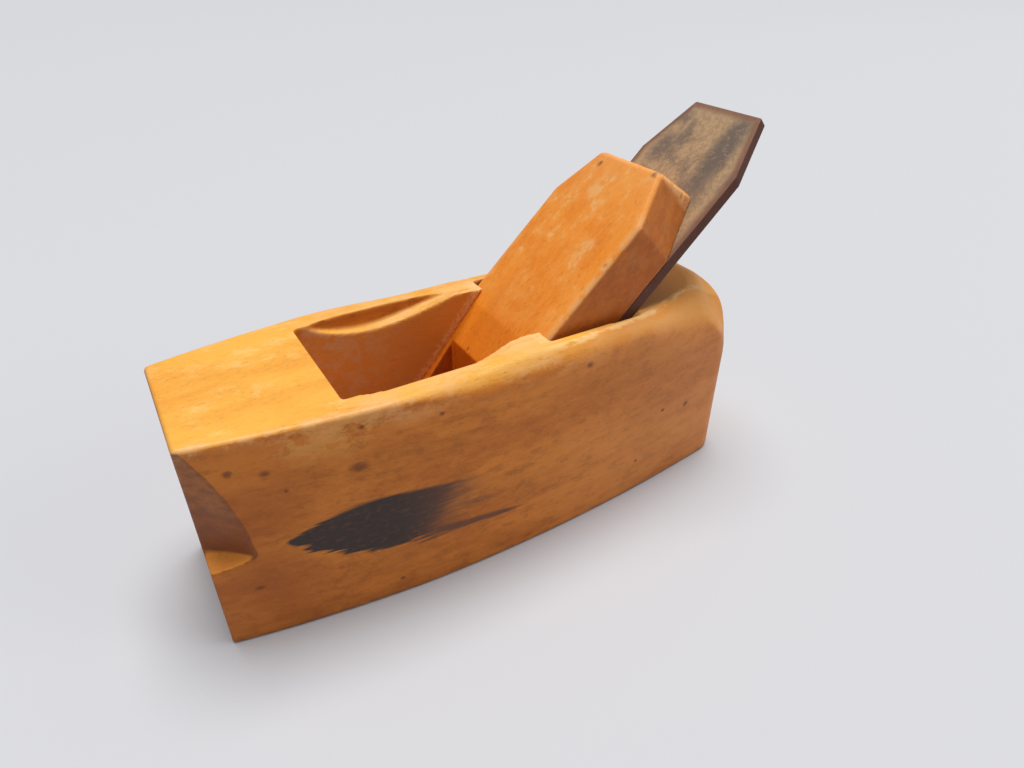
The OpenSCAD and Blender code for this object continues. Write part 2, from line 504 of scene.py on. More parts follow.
# %% [markdown]
# ## The wedge
# Seen from the side the wedge tapers up to a bend and then runs parallel to the iron. Its top
# corners are clipped. Between the prongs it is cut off square, straight down to the iron. The block
# is extruded from its side view, clipped with `bisect_plane`, and its arrises are bevelled before the
# fine remesh softens them. The iron is made in the same way, so the steps are helpers for both.

# %% Helpers for pieces that lie on the bed
def along_bed(point):
    """Distance of a point along the bed, from the level of the sole."""
    return (point - on_bed(0, 0, 0)).dot(slide)


def out_of_bed(point):
    """Distance of a point out from the bed."""
    return (point - on_bed(0, 0, 0)).dot(out_from_bed)


def everything(bm):
    return bm.verts[:] + bm.edges[:] + bm.faces[:]


def slab(profile, half):
    """A solid from a side view of (along the bed, out from it) corners, extruded across."""
    bm = bmesh.new()
    near_face = bm.faces.new([bm.verts.new(on_bed(a, -half, o)) for a, o in profile])
    grown = bmesh.ops.extrude_face_region(bm, geom=[near_face])
    moved = [g for g in grown["geom"] if isinstance(g, bmesh.types.BMVert)]
    bmesh.ops.translate(bm, verts=moved, vec=(0, 2 * half, 0))
    return bm


def clip_corners(bm, shoulder, clip, half, top_half):
    """Saws off both top corners above the shoulders and closes the cuts."""
    lean = Vector((clip, half - top_half)).normalized()
    for hand in (-1, 1):
        away = slide * lean.y + Vector((0, hand * lean.x, 0))
        start = on_bed(shoulder, hand * half, 0)
        sliced = bmesh.ops.bisect_plane(
            bm, geom=everything(bm), plane_co=start, plane_no=away, clear_outer=True
        )
        open_rim = [g for g in sliced["geom_cut"] if isinstance(g, bmesh.types.BMEdge)]
        bmesh.ops.edgeloop_fill(bm, edges=open_rim)
    bmesh.ops.recalc_face_normals(bm, faces=bm.faces)


def bevel(bm, edges, offset, segments):
    bmesh.ops.bevel(
        bm,
        geom=edges,
        offset=offset,
        affect="EDGES",
        segments=segments,
        profile=0.5,
        material=-1,
        clamp_overlap=True,
    )


# %% Block of the wedge
foot_out = iron_thick + 2 * slip
wedge_out = foot_out + 16.8 * MM
wedge_half = 19.8 * MM
wedge_top_half = 12.3 * MM
wedge_top_at = 124 * MM
wedge_clip = 18 * MM
head_slant = 2 * MM
prong_tip = 16 * MM
prong_half = 14.5 * MM
end_cut = 82.1 * MM


def abutment_out(along):
    """How far out from the bed the abutment plane is, at a distance along the bed."""
    start = (bed_foot - abutment_x(0)) * math.sin(abutment_angle) / math.cos(wedge_taper)
    return start + along * math.tan(wedge_taper)


bend_at = (wedge_out + slip - abutment_out(0)) / math.tan(wedge_taper)
tip_out = abutment_out(prong_tip) - slip
wedge_profile = [
    (prong_tip, foot_out),
    (wedge_top_at + head_slant, foot_out),
    (wedge_top_at - head_slant, wedge_out),
    (bend_at, wedge_out),
    (prong_tip + tip_out / 2, abutment_out(prong_tip + tip_out / 2) - slip),
    (prong_tip, (foot_out + tip_out) / 2),
]
bm = slab(wedge_profile, wedge_half)
clip_corners(bm, wedge_top_at - wedge_clip, wedge_clip, wedge_half, wedge_top_half)
print("wedge block:", len(bm.faces), "faces")


# %% Ease the wedge and cut its prongs
def is_worn(edge):
    """True for the arrises that hands and hammer reach: round the front face and round the head."""
    at_head = all(along_bed(v.co) > wedge_top_at - 3 * MM for v in edge.verts)
    on_front = all(out_of_bed(v.co) > wedge_out - 0.5 * MM for v in edge.verts)
    at_bend = all(along_bed(v.co) < bend_at + 1 * MM for v in edge.verts)
    return at_head or (on_front and not at_bend)


bevel(bm, [e for e in bm.edges if is_worn(e)], offset=1.5 * MM, segments=4)
wedge = as_object("wedge_wood", bm)
gap_section = [(-1, -over), (1, -over), (1, top), (-1, top)]
gap_rings = [[at(along, side * prong_half, up) for side, up in gap_section] for along in (0, end_cut)]
cut(wedge, skin("prong_gap", gap_rings))
wear(wedge, voxel_wedge, passes=5, triangles=90000)
ripple(wedge, depth=0.08 * MM, size=14 * MM, seed=8)
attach(wedge, "wedge")
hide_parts("wedge")

# %% [markdown]
# ## The iron
# The iron is a forged plate, so its edges are slightly rounded and its faces are not quite flat. It
# is bevelled finely and cut into small squares, so that a shallow unevenness can be pressed into it.
# A remesh would blur its thin edges, which is why it isn't used here. The lower end, under the wedge,
# is left true, because the hard steel facing is let into it there.

# %% Shape the iron
iron_out = slip + iron_thick
iron_length = (iron_high.z - iron_out * math.cos(bed_angle)) / math.sin(bed_angle)
iron_top_half = 13 * MM
iron_clip = 19 * MM
bevel_angle = math.radians(27)
steel_thick = 1.1 * MM
steel_length = 60 * MM
edge_lift = 0.2 * MM
edge_at = (edge_lift - iron_out * math.cos(bed_angle)) / math.sin(bed_angle)
steel_end = edge_at + steel_length
steel_out = iron_out - steel_thick
iron_profile = [
    (edge_at + iron_thick / math.tan(bevel_angle), slip),
    (iron_length, slip),
    (iron_length, iron_out),
    (steel_end, iron_out),
    (steel_end - 2 * steel_thick, steel_out),
    (edge_at + steel_thick / math.tan(bevel_angle), steel_out),
]
bm = slab(iron_profile, iron_half)
clip_corners(bm, iron_length - iron_clip, iron_clip, iron_half, iron_top_half)
rim = [e for e in bm.edges if all(along_bed(v.co) > steel_end - 1 * MM for v in e.verts)]
bevel(bm, rim, offset=0.45 * MM, segments=3)
print("iron plate:", len(bm.faces), "faces")

# %% Square up and dent the iron
square = 1.6 * MM
rows = int((iron_length - steel_end) / square)
columns = 11
for i in range(1, rows):
    start = on_bed(steel_end + i * square, 0, 0)
    bmesh.ops.bisect_plane(bm, geom=everything(bm), plane_co=start, plane_no=slide)
for i in range(-columns, columns + 1):
    bmesh.ops.bisect_plane(bm, geom=everything(bm), plane_co=(0, i * square, 0), plane_no=(0, 1, 0))
iron = as_object("iron_plate", bm)
dent = 0.07 * MM
coarse, close = 9 * MM, 3 * MM
true_until, dented_from = steel_end + 3 * MM, steel_end + 15 * MM
for vertex in iron.data.vertices:
    if out_of_bed(vertex.co) > iron_out - 0.2 * MM:
        clear = ease(along_bed(vertex.co), true_until, dented_from)
        lump = noise.noise(vertex.co / coarse) + 0.5 * noise.noise(vertex.co / close)
        inward = -dent * clear * abs(lump)
        vertex.co += out_from_bed * inward
for polygon in iron.data.polygons:
    polygon.use_smooth = True
iron.data.set_sharp_from_angle(angle=math.radians(28))
print("iron", len(iron.data.polygons), "faces")
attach(iron, "iron")
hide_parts("iron")

# %% [markdown]
# ## Helpers for finishes
# A finish is a small graph of nodes. To keep it readable, a node's output is wrapped so that plain
# arithmetic builds the Math nodes, and the common textures are functions. Patterns read Object
# coordinates in metres, so they are solid in the wood and end grain comes out where it should.

# %% Signals
class Signal:
    """An output of a node, which arithmetic turns into more nodes."""

    def __init__(self, tree, socket):
        self.tree, self.socket = tree, socket

    def step(self, start, end):
        """0 at start and 1 at end, smoothly, whichever is larger."""
        low, high, rises = min(start, end), max(start, end), start < end
        limits = {"From Min": low, "From Max": high, "To Min": not rises, "To Max": rises}
        smooth = add(self.tree, "MapRange", "Result", Value=self, **limits)
        smooth.socket.node.interpolation_type = "SMOOTHSTEP"
        return smooth

    def ramp(self, start, end):
        """The same between two places given in millimetres."""
        return self.step(start * MM, end * MM)

    def coat(self, tint, share):
        """This colour under a coat of another, as thick as the share says."""
        return blend_colour(share, self, tint)


def math_step(operation):
    """A step of Signal that adds one Math node."""

    def step(self, *others):
        node = self.tree.nodes.new("ShaderNodeMath")
        node.operation = operation
        for index, item in enumerate((self, *others)):
            plug(self.tree, item, node.inputs[index])
        return Signal(self.tree, node.outputs[0])

    return step


Signal.__add__, Signal.__sub__ = math_step("ADD"), math_step("SUBTRACT")
Signal.__mul__, Signal.__truediv__ = math_step("MULTIPLY"), math_step("DIVIDE")
Signal.high, Signal.low = math_step("MAXIMUM"), math_step("MINIMUM")
Signal.abs, Signal.sin, Signal.root = (math_step(o) for o in ("ABSOLUTE", "SINE", "SQRT"))


def plug(tree, item, socket):
    """Feeds a signal, a colour or a number to a socket."""
    if isinstance(item, Signal):
        tree.links.new(item.socket, socket)
    elif socket.type == "RGBA":
        socket.default_value = (*item, 1.0)
    else:
        socket.default_value = item


def add(tree, kind, output, **inputs):
    """Adds a node, feeds its inputs, and gives one of its outputs."""
    node = tree.nodes.new("ShaderNode" + kind)
    for name, item in inputs.items():
        plug(tree, item, node.inputs[name])
    return Signal(tree, node.outputs[output])


def blend_colour(share, first, second):
    """The first colour where share is 0 and the second where it is 1."""
    node = share.tree.nodes.new("ShaderNodeMix")
    node.data_type = "RGBA"
    node.clamp_factor = True
    for index, item in ((0, share), (6, first), (7, second)):
        plug(share.tree, item, node.inputs[index])
    return Signal(share.tree, node.outputs[2])


print("a signal has", len([word for word in dir(Signal) if word[0] != "_"]), "named steps")


# %% Patterns
def new_finish(name):
    finish = bpy.data.materials.new(name)
    finish.use_nodes = True
    tree = finish.node_tree
    shader = tree.nodes["Principled BSDF"]
    return finish, tree, shader


def place(tree, turn=0.0, scale=(1, 1, 1), shift=(0, 0, 0)):
    """Object coordinates, turned about Y and then stretched."""
    source = add(tree, "TexCoord", "Object")
    if turn:
        source = add(tree, "Mapping", "Vector", Vector=source, Rotation=(0, turn, 0))
    return add(tree, "Mapping", "Vector", Vector=source, Location=shift, Scale=scale)


def parts(tree, vector):
    first = add(tree, "SeparateXYZ", 0, Vector=vector)
    return [Signal(tree, socket) for socket in first.socket.node.outputs]


def facing(tree):
    """The surface's own direction, along, across and up."""
    return parts(tree, add(tree, "TexCoord", "Normal"))


def cloud(tree, turn, scale, shift=(0, 0, 0), detail=3.0, rough=0.5, twist=0.0):
    """Soft noise about 0.5, which is stretched by the scale."""
    vector = place(tree, turn, scale, shift)
    settings = {"Scale": 1.0, "Detail": detail, "Roughness": rough, "Distortion": twist}
    return add(tree, "TexNoise", "Fac", Vector=vector, **settings)


def cells(tree, turn, scale, shift):
    """Distance to the nearest of many scattered points, and that point's own colour."""
    vector = place(tree, turn, scale, shift)
    distance = add(tree, "TexVoronoi", "Distance", Vector=vector, Scale=1.0)
    return distance, Signal(tree, distance.socket.node.outputs["Color"])


def oval(first, second, centre, radii):
    """Distance from a centre, where 1 is on an oval. Its place and radii are in millimetres."""
    along = (first - centre[0] * MM) / (radii[0] * MM)
    across = (second - centre[1] * MM) / (radii[1] * MM)
    return (along * along + across * across).root()


def pit(first, second, centre, radii, ragged):
    """A small oval pit with a ragged edge."""
    return (oval(first, second, centre, radii) + (ragged - 0.5) * 2.6).step(1.5, 0.3)


def raise_surface(tree, shader, height, depth):
    bumps = add(tree, "Bump", "Normal", Strength=1.0, Distance=depth, Height=height)
    plug(tree, bumps, shader.inputs["Normal"])


def give(obj, finish):
    """Makes this the only material of a piece."""
    obj.data.materials.clear()
    obj.data.materials.append(finish)
    print(obj.name, "is finished with", finish.name, "in", len(finish.node_tree.nodes), "nodes")


# %% [markdown]
# ## Beech
# Beech has faint growth bands a couple of millimetres apart, fine fibre streaks and, on its flat-sawn
# faces, thousands of short dark flecks that lie along the grain. Oil, hands and light have turned it
# honey-coloured on top and browner on the sides, with darker bruises and a few small pits. All of it
# is made from solid noise stretched along the grain, so each face shows what it would in real wood.

# %% Beech finish
band_width = 0.0024


def beech(name, turn, light, deep, dark, speck, seed):
    """Worn beech whose grain runs along X after a turn about Y. Returns its parts to build on."""
    finish, tree, shader = new_finish(name)
    shift = (seed * 0.37, seed * 0.11, seed * 0.23)
    x, y, z = parts(tree, place(tree, turn))
    drift = cloud(tree, turn, (9, 40, 40), shift, detail=2)
    ring = ((y + 0.012) * (y + 0.012) + (z + 0.055) * (z + 0.055)).root() + drift * 0.006
    band = (ring * (2 * math.pi / band_width)).sin() * 0.5 + 0.5
    fibre = cloud(tree, turn, (28, 700, 700), shift, detail=4, rough=0.6)
    thread = cloud(tree, turn, (180, 3200, 3200), shift, detail=2)
    mottle = cloud(tree, turn, (11, 46, 46), shift, detail=5, rough=0.6)
    bruise = cloud(tree, turn, (45, 150, 150), shift, detail=4, rough=0.62)
    freckle = cloud(tree, turn, (900, 1400, 1400), shift, detail=3, rough=0.7)
    fleck = cloud(tree, turn, (480, 2600, 1700), shift, detail=1)
    flecks = fleck.step(0.64, 0.73)
    spot, spot_mix = cells(tree, turn, (60, 80, 80), shift)
    spots = spot.step(0.075, 0.015) * add(tree, "SeparateColor", "Red", Color=spot_mix).step(0.35, 0.5)
    tone = mottle.step(0.40, 0.60) * 0.75 + (bruise - 0.45) * 1.3
    colour = blend_colour(tone, light, deep)
    colour = colour.coat(deep, band * 0.2)
    colour = colour.coat(light, fibre.step(0.42, 0.70) * 0.4)
    colour = colour.coat(deep, thread.step(0.48, 0.72) * 0.5)
    colour = colour.coat(dark, freckle.step(0.48, 0.68) * speck)
    colour = colour.coat(dark, flecks * 0.5)
    colour = colour.coat([c * 0.4 for c in dark], spots * 0.8)
    height = fibre * 0.5 + thread * 0.3 - flecks * 0.35 - spots * 1.2 + bruise * 0.8
    gloss = mottle * 0.2 + flecks * 0.1 + freckle * 0.12 + 0.34
    return finish, tree, shader, colour, height, gloss


def finish_wood(tree, shader, colour, height, gloss):
    plug(tree, colour, shader.inputs["Base Color"])
    plug(tree, gloss, shader.inputs["Roughness"])
    shader.inputs["IOR"].default_value = 1.45
    shader.inputs["Specular IOR Level"].default_value = 0.28
    raise_surface(tree, shader, height, 0.12 * MM)


print(f"growth bands of {band_width / MM:.1f} mm")

# %% [markdown]
# ## Finish of the stock
# The stock's own history is added over the beech: browner and dirtier sides that turn paler and
# greyer towards the heel, year rings and pores on the two ends, and a golden, rubbed top. On the top
# there are also a painted shadow of the iron behind the slot and painted light on the heel. Each one
# is a mask made from the place on the plane and the way the surface faces.

# %% Stock finish: sides and ends
honey, amber, umber = (0.85, 0.375, 0.045), (0.76, 0.25, 0.028), (0.30, 0.085, 0.014)
warm_side, deep_side = (0.70, 0.215, 0.03), (0.43, 0.105, 0.014)
tawny, hand_grime, late_wood = (0.78, 0.27, 0.045), (0.36, 0.085, 0.012), (0.34, 0.085, 0.014)
pale_heel = (0.74, 0.30, 0.10)
year = 0.0031
finish, tree, shader, wood, height, gloss = beech(
    "beech_stock", 0.0, honey, amber, umber, speck=0.34, seed=2
)
x, y, z = parts(tree, place(tree))
n_along, n_across, n_up = facing(tree)
along = x - toe
from_widest = along - widest
half = from_widest * from_widest * (-0.5 / fore_radius) + half_width_max
grime = cloud(tree, 0, (14, 40, 40), (5, 1, 2), detail=5, rough=0.64)
fine = cloud(tree, 0, (170, 330, 330), (2, 8, 2), detail=4, rough=0.7)
sideways = n_up.step(0.72, 0.2)
streak = cloud(tree, 0, (34, 420, 420), (3, 2, 9), detail=5, rough=0.66)
side_tone = grime.step(0.40, 0.62) * 0.7 + (streak - 0.5) * 1.1 + 0.12
side_skin = blend_colour(side_tone, warm_side, deep_side)
wood = wood.coat(side_skin, sideways * 0.8)
wood = wood.coat(umber, sideways * fine.step(0.50, 0.64) * 0.38)
wood = wood.coat(tawny, sideways * fine.step(0.46, 0.34) * 0.25)
handled = along.ramp(34, 6) * sideways
wood = wood.coat(hand_grime, handled * (grime.step(0.38, 0.60) * 0.4 + 0.25))
# The sides turn darker, in blotches, in the lowest 3 mm above the sole.
darker_near_sole = z.ramp(3.0, 0.3) * sideways * fine.step(0.36, 0.54)
wood = wood.coat(umber, darker_near_sole * 0.4)
end_grain = n_along.abs().step(0.6, 0.92)
pores = cloud(tree, 0, (400, 2600, 2600), (6, 3, 2), detail=3, rough=0.6)
from_pith = ((z + 0.075) * (z + 0.075) + (y + 0.02) * (y + 0.02)).root() + grime * 0.004
year_ring = from_pith * (2 * math.pi / year)
wood = wood.coat(late_wood, end_grain * (year_ring.sin() * 0.5 + 0.5) * 0.35)
wood = wood.coat(umber, end_grain * pores.step(0.46, 0.62) * 0.45)
to_heel = along.ramp(70, 150) * sideways
wood = wood.coat(pale_heel, to_heel * (side_tone * -0.3 + 0.5))
print("sides and ends of the stock:", len(tree.nodes), "nodes")

# %% Stock finish: top
polish_and_painted_light, iron_shadow_brown, gold = (0.98, 0.47, 0.13), (0.27, 0.12, 0.06), (0.91, 0.49, 0.075)
cream, bare_step, dry_cheek = (0.95, 0.60, 0.22), (0.93, 0.55, 0.18), (0.86, 0.47, 0.18)
dark_streak, light_streak = (0.62, 0.23, 0.04), (0.97, 0.60, 0.22)
# A paler heel top: partly palm polish, partly painted light that keeps it bright where the iron shades
# it.
heel_top = n_up.step(0.25, 0.6) * along.ramp(92, 125)
wood = wood.coat(polish_and_painted_light, heel_top * 0.75)
# Painted shadow of the iron: a dark patch on the heel top just behind the slot.
painted_iron_shadow = n_up.step(0.5, 0.9) * along.ramp(114, 120) * along.ramp(152, 132)
painted_iron_shadow = painted_iron_shadow * (y.abs() + (grime - 0.5) * (5 * MM)).ramp(23, 17)
wood = wood.coat(iron_shadow_brown, painted_iron_shadow * 0.5)
golden = n_up.step(0.3, 0.95) * z.step(top - 16 * MM, top - 3 * MM)
golden = golden * along.ramp(130, 100)
wood = wood.coat(gold, golden * (grime.step(0.62, 0.42) * 0.4 + 0.35))
worn = cloud(tree, 0, (75, 110, 110), (4, 4, 1), detail=5, rough=0.72)
creamy = golden * worn.step(0.50, 0.64) * fine.step(0.40, 0.55)
wood = wood.coat(cream, creamy * 0.45)
step_top = golden * along.ramp(74, 84) * along.ramp(101, 96)
step_top = step_top * y.abs().ramp(23, 19)
wood = wood.coat(bare_step, step_top * worn.step(0.36, 0.52) * 0.6)
rubbed_top = golden * along.ramp(44, 62)
wood = wood.coat(dark_streak, rubbed_top * streak.step(0.53, 0.62) * 0.4)
wood = wood.coat(light_streak, rubbed_top * streak.step(0.46, 0.38) * 0.4)
cheeks = golden * along.ramp(34, 46) * y.abs().ramp(13, 16)
wood = wood.coat(dry_cheek, cheeks * worn.step(0.40, 0.58) * 0.55)
print("top of the stock:", len(tree.nodes), "nodes")

# %% [markdown]
# ## Arrises, hollows and throat of the stock
# Where hands rub, the dark skin is gone along the arrises, and a painted highlight runs along the
# crease of the palm rounding. Painted shade darkens the toe hollows, most of all above their ledges,
# and painted light and pale dust brighten the throat.

# %% Stock finish: arrises, hollows and throat
bare_arris, orange_palm, crease_highlight_colour = (0.84, 0.43, 0.16), (0.76, 0.25, 0.026), (0.97, 0.64, 0.28)
scuffed, hollow_shade, shade_above_ledge = (0.74, 0.33, 0.07), (0.21, 0.068, 0.022), (0.24, 0.05, 0.008)
ledge_wood, throat_painted_light, pale_dust_and_light = (0.90, 0.30, 0.05), (0.86, 0.37, 0.075), (0.76, 0.42, 0.19)
edge_band = z.step(top - 9 * MM, top - 1.5 * MM) * (half - y.abs()).ramp(3.2, 0.6)
rubbed = edge_band * worn.step(0.44, 0.60)
wood = wood.coat(bare_arris, rubbed * 0.6)
aft_half = from_widest * from_widest * (-0.5 / aft_radius) + half_width_max
past_crease = y.abs() - aft_half + along.ramp(120, 155) * (5.9 * MM) + 3.65 * MM
behind = along.ramp(84, 98) * z.step(top - 16 * MM, top - 12 * MM)
palm_band = past_crease.ramp(-0.3, 0.8) * n_up.step(0.2, 0.5) * behind
wood = wood.coat(orange_palm, palm_band * (grime.step(0.40, 0.58) * 0.4 + 0.2))
# Painted highlight: a thin pale line along the crease of the palm rounding.
painted_crease_highlight = (past_crease + (worn - 0.5) * (3.0 * MM)).abs().ramp(1.1, 0.3) * behind
painted_crease_highlight = painted_crease_highlight * along.ramp(158, 148)
wood = wood.coat(crease_highlight_colour, painted_crease_highlight * fine.step(0.38, 0.50) * 0.7)
scuff_zone = z.step(top - 13 * MM, top - 7 * MM) * sideways * along.ramp(18, 24)
scuff_zone = scuff_zone * along.ramp(48, 36)
wood = wood.coat(scuffed, scuff_zone * worn.step(0.44, 0.52) * fine.step(0.36, 0.5) * 0.55)
# Painted shade in the toe hollows, darker still low down, just above the ledges.
hollow = n_along.step(-0.26, -0.36) * n_across.abs().step(0.2, 0.45) * z.ramp(25, 27)
hollow = hollow * n_up.step(0.6, 0.3) * along.ramp(16, 13)
wood = wood.coat(hollow_shade, hollow * (fine.step(0.35, 0.65) * 0.35 + 0.45))
wood = wood.coat(shade_above_ledge, hollow * z.ramp(44, 29) * 0.5)
ledge = n_up.step(0.35, 0.75) * along.ramp(15, 13) * z.ramp(34, 31)
wood = wood.coat(ledge_wood, ledge * 0.7)
# Painted light brightens the walls of the throat; towards its front, pale dust and more painted light
# go over them.
inside = (y.abs() * -1 + throat_half).ramp(-0.6, 0.2) * along.ramp(38, 40)
inside = inside * n_up.step(0.7, 0.3) * z.step(top + 1 * MM, top - 2 * MM)
dust = cloud(tree, 0, (300, 300, 300), (7, 7, 7), detail=5, rough=0.75)
wood = wood.coat(throat_painted_light, inside * (fine * 0.6 + 0.4))
dust_and_painted_light = inside * along.ramp(78, 44) * (dust.step(0.45, 0.57) * 0.75 + 0.15)
wood = wood.coat(pale_dust_and_light, dust_and_painted_light)
print("with arrises, hollows and throat:", len(tree.nodes), "nodes")

# %% [markdown]
# ## The spill on the near side
# Something blue-black was spilt on the near side and soaked along the grain. It has a pointed front,
# fingers along its lower edge, a feathered, purplish back and one thin run. The mask is a pointed
# tongue whose edge is pushed about by noise that is stretched along the grain, as the fibres drew the
# liquid. Small pits are placed one by one on the same side.

# %% Stock finish: spill
blue_black, old_purple = (0.026, 0.026, 0.027), (0.12, 0.050, 0.034)
tilt = 0.115
feather = cloud(tree, 0, (70, 70, 1000), (1, 3, 7), detail=4, rough=0.62)
spill_run = along - 17 * MM
spill_middle = z - 29.6 * MM + spill_run * tilt
spill_share = (spill_run / (27 * MM)).high(0.0).low(1.0)
spill_half = spill_share * (spill_share * -1 + 2) * (8.8 * MM)
below = spill_middle.ramp(0.5, -1.5)
ragged = (feather - 0.5) * (below * (7 * MM) + 2.5 * MM)
spill_edge = spill_middle.abs() - spill_half + ragged
back_end = along + (feather - 0.5) * (15 * MM)
spill = spill_edge.ramp(0.7, -0.7)
spill = spill * (back_end - spill_middle * 0.5).ramp(69, 52)
spill = spill * spill_run.ramp(0, 1.5)
run_middle = z - 18.4 * MM + (along - 56 * MM) * tilt
run_half = along.ramp(92, 56) * (1.5 * MM) + 0.05 * MM
run = (run_middle.abs() / run_half + (feather - 0.5) * 1.6).step(1.3, 0.4)
run = run * along.ramp(86, 74) * along.ramp(44, 56)
faint_run = ((run_middle - 7 * MM).abs() / (1.0 * MM)).step(1.4, 0.4)
faint_run = faint_run * along.ramp(76, 66) * along.ramp(54, 60) * 0.55
near_side = y.ramp(-10, -18) * n_across.step(-0.2, -0.5)
soaked = spill.high(run * 0.85).high(faint_run) * near_side
speckle = cloud(tree, 0, (500, 900, 900), detail=2)
ink_age = along.ramp(42, 63) * 0.85 + speckle * 0.12
ink = blend_colour(ink_age, blue_black, old_purple)
wood = wood.coat(ink, soaked * (speckle.step(0.8, 0.5) * 0.1 + 0.87))
print("with the spill:", len(tree.nodes), "nodes")

# %% Stock finish: pits
pit_dark = (0.13, 0.032, 0.012)
pit_marks = [
    ((37, 46.8), (2.0, 1.4)),
    ((9.2, 53.6), (1.0, 0.8)),
    ((16.5, 51.6), (1.2, 0.8)),
    ((20, 45.4), (0.6, 0.6)),
    ((38.6, 58), (0.8, 0.6)),
    ((58, 55.5), (0.7, 0.5)),
    ((144.5, 25.5), (1.3, 1.0)),
    ((133.5, 27.5), (0.8, 0.6)),
    ((102, 55), (1.2, 0.8)),
    ((124, 12), (0.7, 0.5)),
    ((9.5, 17.5), (1.3, 0.7)),
    ((44, 5.5), (0.8, 0.6)),
]
pits = None
for centre, radii in pit_marks:
    mark = pit(along, z, centre, radii, fine)
    pits = mark if pits is None else pits.high(mark)
pits = pits * near_side
wood = wood.coat(pit_dark, pits * 0.7)
print("pits on the near side:", len(pit_marks))

# %% [markdown]
# ## Torn edges of the stock
# The slanted edges that the wedge drags along show pale, torn fibre, and the very edge of the top has
# a thin pale line, rubbed bare and with a painted highlight. The torn places and the pits also go into
# the relief.

# %% Stock finish: torn edges
torn_fibre, rubbed_and_highlight_pale = (0.93, 0.56, 0.24), (0.90, 0.52, 0.24)
from_abutment = (along - abutment_top) * math.sin(abutment_angle)
from_abutment = from_abutment - (z - top) * math.cos(abutment_angle)
torn_noise = cloud(tree, 0, (900, 900, 900), detail=3, rough=0.7)
torn = (from_abutment + (torn_noise - 0.5) * (4.0 * MM)).abs().ramp(3.0, 1.2)
torn = torn * y.abs().ramp(13.0, 14.0) * y.abs().ramp(23, 20)
torn = torn * z.ramp(24, 30)
wood = wood.coat(torn_fibre, torn * (torn_noise.step(0.40, 0.55) * 0.6 + 0.3))
# A thin pale line along the top arris: rubbed wood with a painted highlight.
thin_arris = z.step(top - 1.6 * MM, top - 0.7 * MM)
thin_arris = thin_arris * (half - y.abs()).ramp(1.6, 0.7) * n_up.step(0.1, 0.3)
wood = wood.coat(rubbed_and_highlight_pale, thin_arris * fine.step(0.42, 0.55) * 0.4)
height = height + torn * (torn_noise - 0.4) * 2.5 - pits * 1.5
sheen_band = painted_crease_highlight * 0.15 + edge_band * 0.1
finish_wood(tree, shader, wood, height, gloss + torn * 0.2 - soaked * 0.06 - sheen_band)
give(stock, finish)

# %% [markdown]
# ## Finish of the wedge
# The wedge is the same wood cut with its grain along the bed. Its lower part has kept a strong orange,
# the upper part is rubbed paler and carries a few light scuffs from being tapped and handled.

# %% Wedge finish: wood and scuffs
strong_orange, deep_orange = (0.93, 0.285, 0.021), (0.80, 0.205, 0.012)
wedge_fleck, rubbed_orange, head_orange = (0.36, 0.08, 0.009), (0.94, 0.40, 0.08), (0.93, 0.42, 0.12)
pale_scuff, wedge_pit, shaded_flank_brown = (0.88, 0.53, 0.21), (0.16, 0.035, 0.01), (0.36, 0.072, 0.010)
wedge_arris, struck_wood = (0.88, 0.48, 0.20), (0.90, 0.55, 0.26)
finish, tree, shader, wood, height, gloss = beech(
    "beech_wedge", bed_angle, strong_orange, deep_orange, wedge_fleck, speck=0.16, seed=11
)
bed_x, bed_y, bed_z = parts(tree, place(tree, bed_angle))
n_along, n_across, n_up = facing(tree)
foot_along = (toe + bed_foot) * math.cos(bed_angle)
foot_out_of = -(toe + bed_foot) * math.sin(bed_angle)
up_bed = bed_x - foot_along
out_bed = bed_z - foot_out_of
rub = cloud(tree, bed_angle, (230, 330, 330), (2, 2, 5), detail=4, rough=0.7)
scuff = cloud(tree, bed_angle, (120, 170, 170), (2, 2, 2), detail=5, rough=0.72)
upper = up_bed.ramp(62, 70)
wood = wood.coat(rubbed_orange, upper * (scuff.step(0.35, 0.65) * 0.45 + 0.12))
wood = wood.coat(head_orange, up_bed.ramp(98, 124) * 0.4)
scuffs = scuff.step(0.55, 0.64) * up_bed.ramp(66, 84) * rub.step(0.40, 0.52)
knocks = [((93, -8), (4, 2.6)), ((112, 3), (4, 3))]
for centre, radii in knocks:
    knock = (oval(up_bed, bed_y, centre, radii) + (scuff - 0.5) * 3.5).step(1.4, 0.6)
    scuffs = scuffs.high(knock * rub.step(0.42, 0.55))
wood = wood.coat(pale_scuff, scuffs * 0.5)
print("wood of the wedge:", len(tree.nodes), "nodes")

# %% Wedge finish: pits, flanks and arrises
wedge_pits = [((121, -11.3), 1.0), ((118, 9.5), 0.9), ((56, -9.0), 0.9), ((52, 6.0), 0.5)]
for centre, wide in wedge_pits:
    wood = wood.coat(wedge_pit, pit(up_bed, bed_y, centre, (wide * 1.3, wide), rub) * 0.75)
# Painted shade: the wedge's flanks are darkened to a brown.
flank = n_across.abs().step(0.75, 0.97)
wood = wood.coat(shaded_flank_brown, flank * (rub.step(0.38, 0.62) * 0.16 + 0.66))
arris = bed_y.abs().step(wedge_half - 3.0 * MM, wedge_half - 0.6 * MM)
arris = arris * out_bed.step(wedge_out - 1.6 * MM, wedge_out - 0.5 * MM)
wood = wood.coat(wedge_arris, arris * rub.step(0.36, 0.56) * 0.6)
head = up_bed.step(wedge_top_at - 4 * MM, wedge_top_at - 1.5 * MM)
wood = wood.coat(struck_wood, head * rub.step(0.4, 0.6) * 0.6)
finish_wood(tree, shader, wood, height - scuffs * 0.3, gloss + scuffs * 0.12)
give(wedge, finish)

# %% [markdown]
# ## Finish of the iron and the steel
# The plate has a khaki-brown oxide skin with soft dark blotches, and a reddish, rougher rim where it
# has rusted and been knocked. The skin is dull, so it is treated as a rough coating with a little
# metal all over it. The facing at the cutting end is cleaner steel.

